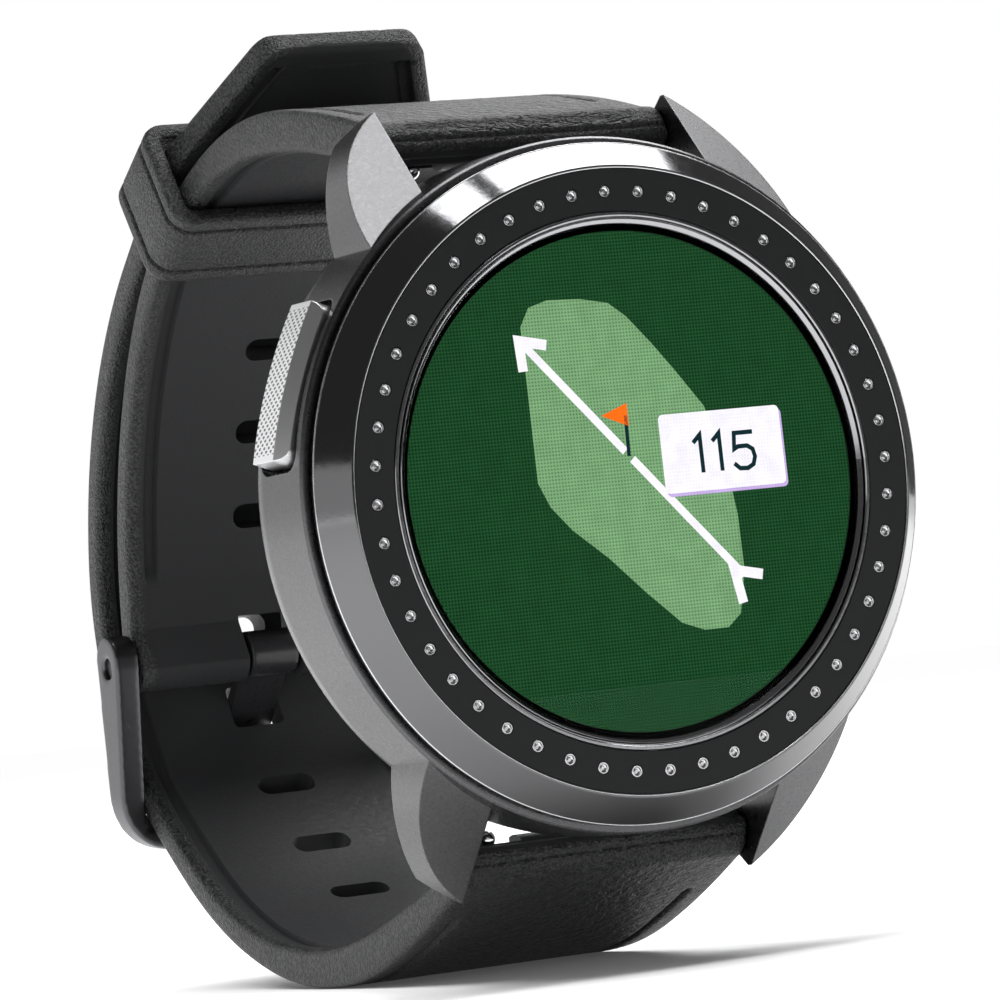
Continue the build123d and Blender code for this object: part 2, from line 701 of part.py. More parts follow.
def buckle_pin():
    return rod_x(PIN_Y, PIN_Z, PIN_R, -ARM_OUT + 0.35, ARM_OUT - 0.35)


def buckle_tang():
    """Barrel on the pin and a flat blade, bent to lie on the far bar."""
    barrel = rod_x(PIN_Y, PIN_Z, TANG_BARREL_R, -TANG_HALF, TANG_HALF)
    slant = heading_vector(-45)
    down = heading_vector(-110.0)
    knee = Vector(PIN_Y, PIN_Z) + slant * 7.75
    path = Line((PIN_Y, PIN_Z), knee) + Line(knee, knee + down * 9.1)
    blade_outline = offset(path, amount=TANG_THICK / 2, kind=Kind.ARC, side=Side.BOTH)
    blade = side_plate(blade_outline.edges(), -TANG_HALF, TANG_HALF)
    tang = barrel + blade
    return tang - rod_x(PIN_Y, PIN_Z, PIN_R + RUN, -5, 5)


# ---- build ---------------------------------------------------------------
NODES = {
    "bezel_ring": bezel_ring,
    "bezel_insert": bezel_insert,
    "bezel_studs": bezel_studs,
    "lens_trim_ring": lens_trim_ring,
    "lens": lens,
    "lens_gasket": lambda: ring(DISPLAY_R + 0.04, LENS_R, LENS_BACK, INSERT_BACK + 0.03),
    "display_panel": lambda: disc(DISPLAY_R, LENS_BACK + 0.02, DISPLAY_BACK),
    "display_backlight": lambda: disc(16.3, DISPLAY_BACK + 0.02, DISPLAY_BACK + 0.2),
    "display_frame": display_frame,
    "display_flex": display_flex,
    "main_board": main_board,
    "board_chips": board_chips,
    "gps_antenna": gps_antenna,
    "battery": battery,
    "vibration_can": vibration_can,
    "vibration_weight": vibration_weight,
    "button_switch": button_switch,
    "switch_plunger": switch_plunger,
    "case_body": case_body,
    "side_button": side_button,
    "button_seals": button_seals,
    "button_clips": button_clips,
    "case_back": case_back,
    "case_back_seal": case_back_seal,
    "case_back_screws": case_back_screws,
    "contact_block": contact_block,
    "charging_contacts": charging_contacts,
    "short_strap": short_strap,
    "long_strap": long_strap,
    "keeper": keeper,
    "buckle_frame": buckle_frame,
    "buckle_pin": buckle_pin,
    "buckle_tang": buckle_tang,
}
for prefix, end in (("upper", 1), ("lower", -1)):
    NODES[prefix + "_bar_tube"] = lambda end=end: bar_tube(end)
    NODES[prefix + "_bar_fixed_tip"] = lambda end=end: bar_fixed_tip(end)
    NODES[prefix + "_bar_release"] = lambda end=end: bar_release(end)
    NODES[prefix + "_bar_spring"] = lambda end=end: bar_spring(end)

for node_name, make in NODES.items():
    save(node_name, make())
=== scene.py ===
import bpy
import bmesh
import math
from mathutils import Matrix, Vector, noise


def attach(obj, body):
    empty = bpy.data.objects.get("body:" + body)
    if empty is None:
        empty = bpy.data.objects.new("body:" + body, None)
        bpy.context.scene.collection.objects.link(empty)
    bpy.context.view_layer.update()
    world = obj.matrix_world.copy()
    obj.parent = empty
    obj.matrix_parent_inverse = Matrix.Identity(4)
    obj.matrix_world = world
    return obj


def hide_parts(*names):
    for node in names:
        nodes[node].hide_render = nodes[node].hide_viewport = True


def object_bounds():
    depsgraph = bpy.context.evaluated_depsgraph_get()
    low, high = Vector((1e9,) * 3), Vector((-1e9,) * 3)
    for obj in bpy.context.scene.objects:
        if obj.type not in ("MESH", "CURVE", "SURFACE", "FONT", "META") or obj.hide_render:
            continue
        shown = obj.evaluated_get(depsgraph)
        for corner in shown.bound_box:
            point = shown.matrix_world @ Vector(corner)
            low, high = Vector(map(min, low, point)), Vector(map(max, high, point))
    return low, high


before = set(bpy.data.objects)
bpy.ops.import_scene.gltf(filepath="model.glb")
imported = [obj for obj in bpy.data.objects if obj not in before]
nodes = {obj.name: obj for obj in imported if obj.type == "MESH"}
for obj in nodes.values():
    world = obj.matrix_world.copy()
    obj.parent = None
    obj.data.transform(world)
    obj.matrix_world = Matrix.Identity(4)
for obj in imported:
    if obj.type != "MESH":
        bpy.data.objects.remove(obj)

cad_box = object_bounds()
MM = 0.001
BACK = 13.4          # depth of the case back behind the dial plane, mm
BAR_Y = 11.7         # spring bars, depth and height
BAR_Z = 24.0
BAR_WRAP = 1.75      # radius of the strap's end round a spring bar
BAR_HOLE = 0.92
PIN = (59.4, -7.9)   # buckle pin, depth and height
PIN_WRAP = 1.95
PIN_HEADING = -88.0
PIN_HOLE = 0.8
BUTTON_ANGLE = math.radians(158.3)
BUTTON_DEPTH = 6.2
DISPLAY_R = 16.42


def at(x, y, z):
    """Millimetres in the dial-plane frame to metres in the row frame."""
    return Vector((x * MM, (y - BACK) * MM, z * MM))


# ---------------------------------------------------------------- materials
class Shader:
    """Small helper round one Principled material."""

    def __init__(self, name, color, rough, metal=0.0, **sockets):
        self.mat = bpy.data.materials.new(name)
        self.mat.use_nodes = True
        self.tree = self.mat.node_tree
        self.bsdf = self.tree.nodes["Principled BSDF"]
        self.put("Base Color", (*color, 1.0))
        self.put("Roughness", rough)
        self.put("Metallic", metal)
        for key, value in sockets.items():
            self.put(key.replace("_", " "), value)
        self.coord = self.node("ShaderNodeTexCoord").outputs["Object"]
        self.normal = None

    def put(self, name, value):
        self.bsdf.inputs[name].default_value = value

    def node(self, kind, **props):
        made = self.tree.nodes.new(kind)
        for key, value in props.items():
            setattr(made, key, value)
        return made

    def link(self, a, b):
        self.tree.links.new(a, b)

    def mapped(self, scale=(1, 1, 1), rotation=(0, 0, 0), location=(0, 0, 0)):
        mapping = self.node("ShaderNodeMapping")
        mapping.inputs["Scale"].default_value = scale
        mapping.inputs["Rotation"].default_value = rotation
        mapping.inputs["Location"].default_value = location
        self.link(self.coord, mapping.inputs["Vector"])
        return mapping.outputs["Vector"]

    def noise(self, size_mm, detail=2.0, rough=0.5, vector=None, distortion=0.0):
        tex = self.node("ShaderNodeTexNoise")
        tex.inputs["Scale"].default_value = 1.0 / (size_mm * MM)
        tex.inputs["Detail"].default_value = detail
        tex.inputs["Roughness"].default_value = rough
        tex.inputs["Distortion"].default_value = distortion
        self.link(vector or self.coord, tex.inputs["Vector"])
        return tex.outputs["Fac"]

    def voronoi(self, size_mm, feature="F1", vector=None, randomness=1.0):
        tex = self.node("ShaderNodeTexVoronoi", feature=feature)
        tex.inputs["Scale"].default_value = 1.0 / (size_mm * MM)
        tex.inputs["Randomness"].default_value = randomness
        self.link(vector or self.coord, tex.inputs["Vector"])
        return tex.outputs["Distance"]

    def math(self, op, a, b=None, c=None, clamp=False):
        made = self.node("ShaderNodeMath", operation=op, use_clamp=clamp)
        for i, value in enumerate((a, b, c)):
            if value is None:
                continue
            if isinstance(value, (int, float)):
                made.inputs[i].default_value = value
            else:
                self.link(value, made.inputs[i])
        return made.outputs[0]

    def remap(self, value, low, high, out_low, out_high):
        made = self.node("ShaderNodeMapRange")
        for key, number in (("From Min", low), ("From Max", high), ("To Min", out_low), ("To Max", out_high)):
            made.inputs[key].default_value = number
        self.link(value, made.inputs["Value"])
        return made.outputs["Result"]

    def ramp(self, value, stops):
        made = self.node("ShaderNodeValToRGB")
        ramp = made.color_ramp
        while len(ramp.elements) < len(stops):
            ramp.elements.new(0.5)
        for element, (pos, color) in zip(ramp.elements, stops):
            element.position = pos
            element.color = (*color, 1.0)
        self.link(value, made.inputs["Fac"])
        return made.outputs["Color"]

    def attribute(self, name):
        return self.node("ShaderNodeAttribute", attribute_name=name).outputs["Fac"]

    def position(self):
        sep = self.node("ShaderNodeSeparateXYZ")
        self.link(self.coord, sep.inputs[0])
        return sep.outputs

    def bump(self, height, distance_mm, strength=1.0):
        made = self.node("ShaderNodeBump")
        made.inputs["Distance"].default_value = distance_mm * MM
        if isinstance(strength, (int, float)):
            made.inputs["Strength"].default_value = strength
        else:
            self.link(strength, made.inputs["Strength"])
        self.link(height, made.inputs["Height"])
        if self.normal is not None:
            self.link(self.normal, made.inputs["Normal"])
        self.normal = made.outputs["Normal"]
        self.link(self.normal, self.bsdf.inputs["Normal"])

    def soften(self, radius_mm):
        """Rounds hard edges at render time."""
        made = self.node("ShaderNodeBevel", samples=4)
        made.inputs["Radius"].default_value = radius_mm * MM
        self.normal = made.outputs["Normal"]
        self.link(self.normal, self.bsdf.inputs["Normal"])

    def drive(self, socket, value):
        self.link(value, self.bsdf.inputs[socket])


def rubber(name="strap_rubber", strap=True):
    """Moulded rubber: sandblasted outside, and on a strap leather grain, creases and a smooth lining."""
    s = Shader(name, (0.015, 0.0155, 0.016), 0.5, Specular_IOR_Level=0.45)
    sand = s.noise(0.2, 2.0, 0.6)
    s.bump(sand, 0.24, s.attribute("sand") if strap else 0.9)
    tone = s.ramp(sand, [(0.42, (0.005, 0.0055, 0.006)), (0.60, (0.036, 0.0365, 0.037))])
    if strap:
        fine = s.math("MULTIPLY", s.noise(0.42, 3.0, 0.6), 0.9)
        pebbles = s.math("ADD", s.voronoi(0.62, "SMOOTH_F1"), fine)
        s.bump(pebbles, 0.42, s.attribute("grain"))
        folds = s.noise(0.85, 3.0, 0.55, s.mapped(scale=(0.36, 1.0, 1.0)), 0.8)
        crease = s.remap(s.math("ABSOLUTE", s.math("SUBTRACT", folds, 0.5)), 0.0, 0.07, 0.0, 1.0)
        s.bump(crease, 0.28, s.attribute("wrinkle"))
        lining = s.node("ShaderNodeMix", data_type="RGBA")
        s.link(s.remap(s.attribute("sand"), 0.15, 0.6, 0.0, 1.0), lining.inputs["Factor"])
        lining.inputs["A"].default_value = (0.030, 0.0305, 0.032, 1.0)
        s.link(tone, lining.inputs["B"])
        tone = lining.outputs["Result"]
        s.drive("Specular IOR Level", s.remap(s.attribute("sand"), 0.15, 0.6, 0.12, 0.45))
    s.drive("Roughness", s.remap(s.noise(0.35, 3.0, 0.6), 0.3, 0.7, 0.36, 0.56))
    s.drive("Base Color", tone)
    return s.mat


def gunmetal():
    """Case: fine-grained satin coating."""
    s = Shader("case_gunmetal", (0.12, 0.12, 0.123), 0.34, 1.0)
    s.soften(0.14)
    s.bump(s.noise(0.16, 2.0, 0.5), 0.004, 0.35)
    s.drive("Roughness", s.remap(s.noise(0.3, 3.0, 0.6), 0.3, 0.7, 0.26, 0.31))
    tone = s.ramp(s.noise(0.25, 3.0, 0.6), [(0.3, (0.105, 0.105, 0.108)), (0.7, (0.125, 0.125, 0.128))])
    s.drive("Base Color", tone)
    return s.mat


def dark_polish():
    s = Shader("bezel_polish", (0.15, 0.15, 0.154), 0.09, 1.0)
    s.soften(0.06)
    s.bump(s.noise(0.30, 3.0, 0.6), 0.005, 0.4)
    s.drive("Roughness", s.remap(s.noise(0.6, 4.0, 0.6), 0.3, 0.75, 0.07, 0.13))
    return s.mat


def satin_black(name="insert_black"):
    s = Shader(name, (0.007, 0.0075, 0.008), 0.4, 0.0, Specular_IOR_Level=0.25)
    s.bump(s.noise(0.07, 2.0, 0.5), 0.003, 0.4)
    s.drive("Roughness", s.remap(s.noise(0.3, 3.0, 0.6), 0.3, 0.7, 0.36, 0.48))
    return s.mat


def polished(name, color, rough=0.08, bevel=0.03):
    s = Shader(name, color, rough, 1.0)
    s.soften(bevel)
    s.drive("Roughness", s.remap(s.noise(0.4, 3.0, 0.6), 0.3, 0.7, rough * 0.8, rough * 1.5))
    return s.mat


def brushed(name, color, rough=0.3, stretch=(1, 1, 14)):
    s = Shader(name, color, rough, 1.0)
    s.soften(0.05)
    lines = s.noise(0.4, 3.0, 0.6, s.mapped(scale=stretch))
    s.bump(lines, 0.004, 0.5)
    s.drive("Roughness", s.remap(lines, 0.3, 0.7, rough * 0.8, rough * 1.2))
    return s.mat


def plastic(name, color, rough=0.45, grain=0.12):
    s = Shader(name, color, rough, 0.0)
    s.soften(0.05)
    s.bump(s.noise(grain, 2.0, 0.5), 0.004, 0.5)
    s.drive("Roughness", s.remap(s.noise(0.5, 3.0, 0.6), 0.3, 0.7, rough * 0.88, rough * 1.12))
    return s.mat


def glass():
    s = Shader("lens_glass", (1.0, 1.0, 1.0), 0.0, 0.0, Transmission_Weight=1.0, IOR=1.12,
               Specular_IOR_Level=0.2)
    s.drive("Roughness", s.remap(s.noise(4.0, 2.0), 0.3, 0.7, 0.0, 0.004))
    return s.mat


def lit(name, color, glow=1.0, grid=0.3):
    """Lit display area with its fine pixel grid."""
    s = Shader(name, tuple(c * 0.05 for c in color), 0.5, 0.0, Specular_IOR_Level=0.0)
    pos = s.position()
    pitch = 0.23 * MM
    waves = []
    for axis in (0, 2):
        phase = s.math("MULTIPLY", pos[axis], 2 * math.pi / pitch)
        waves.append(s.math("SINE", phase))
    both = s.math("MULTIPLY", s.math("ADD", waves[0], 1.0), s.math("ADD", waves[1], 1.0))
    level = s.remap(both, 0.0, 4.0, 1.0 + grid * 0.6, 1.0 - grid)
    cloud = s.remap(s.noise(1.4, 3.0, 0.6), 0.3, 0.7, 0.92, 1.08)
    amount = s.math("MULTIPLY", level, cloud)
    mix = s.node("ShaderNodeMix", data_type="RGBA", blend_type="MULTIPLY")
    mix.inputs["Factor"].default_value = 1.0
    mix.inputs["A"].default_value = (*color, 1.0)
    s.link(amount, mix.inputs["B"])
    s.drive("Emission Color", mix.outputs["Result"])
    s.put("Emission Strength", glow)
    return s.mat


def knurled():
    """Button steel: staggered rows of small pits on its outer face, their base colour darkened as painted
    shade.
    """
    s = Shader("button_steel", (0.8, 0.8, 0.81), 0.3, 1.0)
    s.soften(0.08)
    pos = s.position()
    sine, cosine = math.sin(BUTTON_ANGLE), math.cos(BUTTON_ANGLE)
    along = s.math("ADD", s.math("MULTIPLY", pos[0], -sine), s.math("MULTIPLY", pos[2], cosine))
    out = s.math("ADD", s.math("MULTIPLY", pos[0], cosine), s.math("MULTIPLY", pos[2], sine))
    depth = s.math("ADD", pos[1], (BACK - BUTTON_DEPTH) * MM)
    row_pitch, column_pitch = 0.50 * MM, 0.68 * MM
    rows = s.math("COSINE", s.math("MULTIPLY", along, 2 * math.pi / row_pitch))
    columns = s.math("COSINE", s.math("MULTIPLY", depth, 2 * math.pi / column_pitch))
    # Pit mask: real depth for the bump, and painted shade for the colour.
    pits_and_shade = s.remap(s.math("MULTIPLY", rows, columns), 0.15, 0.6, 0.0, 1.0)
    half_deep, half_long, face = 1.5 * MM, 5.0 * MM, 23.1 * MM
    inside = s.math("LESS_THAN", s.math("ABSOLUTE", depth), half_deep)
    inside = s.math("MULTIPLY", inside, s.math("LESS_THAN", s.math("ABSOLUTE", along), half_long))
    inside = s.math("MULTIPLY", inside, s.math("GREATER_THAN", out, face))
    pits_and_shade = s.math("MULTIPLY", pits_and_shade, inside)
    s.bump(s.noise(0.10, 2.0, 0.5), 0.008, 0.6)
    s.bump(s.math("SUBTRACT", 1.0, pits_and_shade), 0.10, 0.8)
    # The pits' base colour runs down to dark grey: painted shade in the recesses, not a colour of the steel.
    s.drive("Base Color", s.ramp(pits_and_shade, [(0.0, (0.8, 0.8, 0.81)), (1.0, (0.16, 0.16, 0.165))]))
    return s.mat


RUBBER = rubber()
KEEPER_RUBBER = rubber("keeper_rubber", strap=False)
CASE = gunmetal()
BEZEL = dark_polish()
INSERT = satin_black()
STEEL = polished("polished_steel", (0.72, 0.72, 0.73), 0.1)
DARK_STEEL = brushed("dark_satin", (0.10, 0.10, 0.105), 0.34)
TANG = plastic("tang_black", (0.022, 0.022, 0.024), 0.30)
SCREW = brushed("screw_steel", (0.45, 0.45, 0.46), 0.3)
BLACK = plastic("gloss_black", (0.008, 0.008, 0.009), 0.12)
SHELL = plastic("back_shell", (0.02, 0.02, 0.022), 0.38)
GOLD = polished("contact_gold", (0.83, 0.60, 0.22), 0.2)
SEAL = plastic("seal_rubber", (0.02, 0.02, 0.02), 0.6)
BOARD = plastic("board_green", (0.02, 0.16, 0.07), 0.35)
CHIP = plastic("chip_black", (0.02, 0.02, 0.02), 0.5)
FOIL = brushed("battery_foil", (0.7, 0.7, 0.72), 0.35)
AMBER = plastic("flex_amber", (0.45, 0.22, 0.04), 0.3)
WHITE = plastic("white_film", (0.8, 0.8, 0.8), 0.5)
CERAMIC = plastic("ceramic", (0.72, 0.68, 0.58), 0.55)
KNURL = knurled()
STUD = polished("stud_steel", (0.6, 0.6, 0.61), 0.12, 0.02)
TRIM = polished("trim_steel", (0.35, 0.35, 0.36), 0.1, 0.02)
# Light steel for the beads on the bezel's corners: a painted highlight.
HIGHLIGHT_STEEL = polished("highlight_steel", (0.62, 0.62, 0.63), 0.16, 0.01)
GLASS = glass()

FINISH = {
    "case_body": CASE, "bezel_ring": BEZEL, "bezel_insert": INSERT, "bezel_studs": STUD,
    "lens_trim_ring": TRIM, "lens": GLASS, "lens_gasket": BLACK, "display_backlight": WHITE,
    "display_frame": CHIP, "display_flex": AMBER, "main_board": BOARD, "board_chips": CHIP,
    "gps_antenna": CERAMIC, "battery": FOIL, "vibration_can": STEEL, "vibration_weight": STEEL,
    "button_switch": CHIP, "switch_plunger": STEEL, "side_button": KNURL, "button_seals": SEAL,
    "button_clips": SCREW, "case_back": SHELL, "case_back_seal": SEAL, "case_back_screws": SCREW,
    "contact_block": BLACK, "charging_contacts": GOLD, "buckle_frame": DARK_STEEL,
    "buckle_pin": DARK_STEEL, "buckle_tang": TANG,
}
for end in ("upper", "lower"):
    for piece in ("bar_tube", "bar_fixed_tip", "bar_release", "bar_spring"):
        FINISH[f"{end}_{piece}"] = STEEL


def dress(obj, material):
    obj.data.materials.clear()
    obj.data.materials.append(material)


for name, material in FINISH.items():
    dress(nodes[name], material)


# ---------------------------------------------------------------- mesh tools
def mesh_object(name, verts, faces, material, body="watch", smooth_deg=40.0):
    mesh = new_mesh(name, verts, faces)
    mesh.validate()
    obj = link_mesh(name, mesh)
    mesh.materials.append(material)
    smooth(obj, smooth_deg)
    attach(obj, body)
    return obj


def smooth(obj, degrees):
    mesh = obj.data
    mesh.polygons.foreach_set("use_smooth", [True] * len(mesh.polygons))
    mesh.set_sharp_from_angle(angle=math.radians(degrees))


def cut(obj, cutters):
    """Takes the cutters out of obj and keeps the result as its mesh."""
    verts, faces = [], []
    for cutter in cutters:
        start = len(verts)
        verts += [v.co.copy() for v in cutter.data.vertices]
        faces += [tuple(start + i for i in p.vertices) for p in cutter.data.polygons]
        bpy.data.objects.remove(cutter, do_unlink=True)
    whole = plain_object("cutter", verts, faces)
    mod = obj.modifiers.new("cut", "BOOLEAN")
    mod.operation = "DIFFERENCE"
    mod.solver = "EXACT"
    mod.use_self = True
    mod.object = whole
    keep_result(obj)
    bpy.data.objects.remove(whole, do_unlink=True)


def keep_result(obj):
    """Makes the mesh that the modifiers give the object's own mesh."""
    bpy.context.view_layer.update()
    evaluated = obj.evaluated_get(bpy.context.evaluated_depsgraph_get())
    result = bpy.data.meshes.new_from_object(evaluated)
    obj.modifiers.clear()
    old = obj.data
    obj.data = result
    bpy.data.meshes.remove(old)


def link_mesh(name, mesh, triangulate=False):
    """Object of this mesh with its faces turned outward; triangulate splits faces of over four corners."""
    bm = bmesh.new()
    bm.from_mesh(mesh)
    bmesh.ops.recalc_face_normals(bm, faces=bm.faces)
    if triangulate:
        bmesh.ops.triangulate(bm, faces=[f for f in bm.faces if len(f.verts) > 4])
    bm.to_mesh(mesh)
    bm.free()
    obj = bpy.data.objects.new(name, mesh)
    bpy.context.scene.collection.objects.link(obj)
    return obj


def new_mesh(name, verts, faces):
    mesh = bpy.data.meshes.new(name)
    mesh.from_pydata([tuple(v) for v in verts], [], faces)
    return mesh


def plain_object(name, verts, faces):
    return link_mesh(name, new_mesh(name, verts, faces))


def grid_faces(rows, columns, closed_rows=False, closed_columns=True, caps=False):
    faces = []
    for i in range(rows if closed_rows else rows - 1):
        for j in range(columns if closed_columns else columns - 1):
            a, b = i * columns + j, i * columns + (j + 1) % columns
            c, d = ((i + 1) % rows) * columns + (j + 1) % columns, ((i + 1) % rows) * columns + j
            faces.append((a, b, c, d))
    if caps:
        faces.append(tuple(range(columns)))
        faces.append(tuple(reversed(range((rows - 1) * columns, rows * columns))))
    return faces


# ---------------------------------------------------------------- strap curves (depth, height), mm
def walk(start, heading, arcs, step=0.5):
    """Points and headings along tangent arcs of (radius, degrees); a radius of None is a straight."""
    x, z = start
    points = [(x, z, heading)]
    for radius, turn in arcs:
        length = turn if radius is None else radius * math.radians(abs(turn))
        count = max(2, int(round(length / step)))
        swing = 0.0 if radius is None else turn / count
        for _ in range(count):
            mid = math.radians(heading + swing / 2)
            chord = length / count
            if radius is not None:
                chord = 2 * radius * math.sin(math.radians(abs(swing)) / 2)
            x += chord * math.cos(mid)
            z += chord * math.sin(mid)
            heading += swing
            points.append((x, z, heading))
    return points


def pierce(point, normal, line):
    """Distance from point along normal to a polyline of (y, z, ...)."""
    px, pz = point
    nx, nz = normal
    best = None
    for (ax, az, *_), (bx, bz, *_) in zip(line, line[1:]):
        ex, ez = bx - ax, bz - az
        det = nx * -ez + ex * nz
        if abs(det) < 1e-12:
            continue
        t = ((ax - px) * -ez + ex * (az - pz)) / det
        u = (nx * (az - pz) - nz * (ax - px)) / det
        if -0.02 <= u <= 1.02 and 0.2 < t < 6 and (best is None or t < best):
            best = t
    return best


def point_at(chain, want):
    run = 0.0
    for a, b in zip(chain, chain[1:]):
        step = math.hypot(b[0] - a[0], b[1] - a[1])
        if run + step >= want:
            f = (want - run) / step
            return (a[0] + (b[0] - a[0]) * f, a[1] + (b[1] - a[1]) * f), a[2] + (b[2] - a[2]) * f
        run += step
    return (chain[-1][0], chain[-1][1]), chain[-1][2]


def bulge(point, normal, centre, radius):
    """Depth along normal at which the far side of a round barrel lies, or 0 clear of it."""
    dy, dz = centre[0] - point[0], centre[1] - point[1]
    along = dy * normal[0] + dz * normal[1]
    across = -dy * normal[1] + dz * normal[0]
    far = along + math.sqrt(max(0.0, radius ** 2 - across ** 2))
    return far if abs(across) < radius and far < 5.0 else 0.0


def blended(a, b, soft=0.5):
    """The larger of two depths, with a rounded change from one to the other."""
    return (a + b + math.sqrt((a - b) ** 2 + soft ** 2)) / 2 if b > 0 else a


def marks(total, fine=5.0, small=0.19, large=0.42, last=2.0):
    """Lengths along a strap, close together near the lug and at the far end."""
    out, run = [], 0.0
    while run < total:
        out.append(run)
        run += small if run < fine or run > total - last else large
    return out + [total]


HALF = 10.9
SHORT_OUTER = ((12.6, 25.9), 16.45, [(82.6, -8.5), (30.5, -63.1), (41.5, -31.0)])
SHORT_INNER = ((12.5, 22.66), 19.3, [(57.9, -17.5), (25.7, -48.7), (34.5, -40.0)])
LONG_OUTER = ((11.7, -25.9), -26.0, [(85.0, 7.5), (34.3, 57.7), (100.0, 3.4), (22.3, 58.2), (35.8, 40.0)])
LONG_BACK = [(29.0, -34.75), (37.6, -19.0), (114.0, -6.6)]
THICK = 2.1
TAIL = 22.2
SHORT_SLOTS = (46.3, 53.3, 60.1)
LONG_SLOTS = (39.1, 46.1, 53.1, 68.0, 75.2, 82.3, 89.4, 96.5)
TANG_SLOT = 61.1
LONG_CREASE = 0.35   # the 6 o'clock half is creased less than the other
SLOT_HEIGHT = 1.8
TAPER = 11.5         # length over which the tail narrows to its tip
TIP_HALF = 6.1
TIP_R = 1.3


def section(h, t, outer_groove, inner_groove, panel):
    """Ring of (x, depth from the outer face, leather weight, border weight) round the strap.

    outer_groove and inner_groove are 0 to 1; panel is how far the inner middle is sunk."""
    r = min(0.5, t * 0.22)
    g, p = 0.36 * outer_groove, 0.40 * inner_groove
    count = 25
    flat = [((h - 2.7) * k / count, 0.0, 1.0, 0.0) for k in range(count + 1)]
    rim = [(h - 2.4, 0.0, 0.8, 0.0), (h - 2.22, g * 0.35, 0.4, 0.0), (h - 2.08, g, 0.2, 0.0),
           (h - 1.82, g, 0.2, 0.0), (h - 1.68, g * 0.3, 0.3, 0.0), (h - 1.5, 0.0, 0.3, 1.0),
           (h - 1.1, 0.0, 0.3, 1.0), (h - 0.8, 0.0, 0.3, 1.0), (h - r, 0.02, 0.3, 0.7)]
    side = [(h - r * 0.55, r * 0.13), (h - r * 0.2, r * 0.42), (h, r), (h, t * 0.5), (h, t - r),
            (h - r * 0.2, t - r * 0.42), (h - r * 0.55, t - r * 0.13), (h - r, t)]
    inner = [(h - 1.3, t), (h - 1.36, t - p * 0.4), (h - 1.42, t - p), (h - 2.3, t - p),
             (h - 2.36, t - p * 0.4), (h - 2.42, t - panel)]
    inner += [(h * f, t - panel) for f in (0.7, 0.5, 0.25, 0)]
    half = flat + rim + [(x, d, 0.12, 0.0) for x, d in side] + [(x, d, 0.0, 0.0) for x, d in inner]
    return half + [(-x, d, w, b) for x, d, w, b in reversed(half[1:-1])]


def relief(x, s, weight, border):
    """How far the outer face sinks at x across and s along the strap, mm."""
    pebble = 0.5 + 0.5 * noise.noise(Vector((x / 0.75, s / 0.75, 3.0)))
    waves = noise.noise(Vector((x / 3.1, s / 2.6, 9.0)))
    sunk = weight * (0.055 * pebble + 0.03 * (0.5 + 0.5 * waves))
    return sunk + border * 0.05 * (0.5 + 0.5 * math.sin(2 * math.pi * s / 0.85))


def build_strap(name, stations):
    """stations: dicts with outer point o, inner direction n, thickness t, half width h and length s,
    and from 0 to 1 the grooves og and ig, the leather grain and the wrinkles."""
    verts = []
    finish = {"grain": [], "sand": [], "wrinkle": []}
    for st in stations:
        ring = section(st["h"], st["t"], st.get("og", 0), st.get("ig", 0), st.get("panel", 0))
        oy, oz = st["o"]
        ny, nz = st["n"]
        leather = st.get("grain", 0.0)
        for x, d, w, b in ring:
            if w or b:
                d += relief(x, st["s"], w * leather, b * st.get("og", 0))
            verts.append(at(x, oy + ny * d, oz + nz * d))
            edge = max(0.0, min(1.0, (st["h"] - abs(x) - 0.7) / 1.5))
            finish["grain"].append(0.55 * w * leather + 0.02)
            finish["sand"].append(0.8 if w else 0.12)
            finish["wrinkle"].append(st.get("wrinkle", 0.0) * edge * ease(w, 0.5, 0.9))
    mesh = new_mesh(name, verts, grid_faces(len(stations), len(ring), caps=True))
    for key, values in finish.items():
        mesh.attributes.new(key, "FLOAT", "POINT").data.foreach_set("value", values)
    obj = link_mesh(name, mesh)
    mesh.materials.append(RUBBER)
    return obj


def slot_cutter(o, heading, height, width=4.6, corner=0.85):
    """Rounded slot prism, square to the strap at outer point o."""
    ty, tz = math.cos(math.radians(heading)), math.sin(math.radians(heading))
    points = []
    for cx, cz, a0 in ((1, 1, 0), (-1, 1, 90), (-1, -1, 180), (1, -1, 270)):
        for k in range(7):
            a = math.radians(a0 + 15 * k)
            points.append((cx * (width / 2 - corner) + corner * math.cos(a),
                           cz * (height / 2 - corner) + corner * math.sin(a)))
    n = len(points)
    verts = []
    for depth in (-3.5, 3.9):
        for x, s in points:
            verts.append(at(x, o[0] + ty * s + tz * depth, o[1] + tz * s - ty * depth))
    faces = grid_faces(2, n, caps=True)
    return plain_object("cutter", verts, faces)


def box_cutter(x, y, z):
    verts = [at(a, b, c) for a in x for b in y for c in z]
    faces = [(0, 1, 3, 2), (4, 6, 7, 5), (0, 4, 5, 1), (2, 3, 7, 6), (0, 2, 6, 4), (1, 5, 7, 3)]
    return plain_object("cutter", verts, faces)


def rod_cutter(y, z, radius, half=14.0, count=32):
    turns = [2 * math.pi * k / count for k in range(count)]
    verts = [at(x, y + radius * math.cos(a), z + radius * math.sin(a)) for x in (-half, half) for a in turns]
    return plain_object("cutter", verts, grid_faces(2, count, caps=True))


def ease(value, low, high):
    t = max(0.0, min(1.0, (value - low) / (high - low)))
    return t * t * (3 - 2 * t)


def creases(s, amount=1.0):
    """Depth of the flexing creases at a length along the strap; the bar end lies below zero."""
    return amount * ease(s, -1.9, -1.5) * (1 - ease(s, -0.1, 0.7))


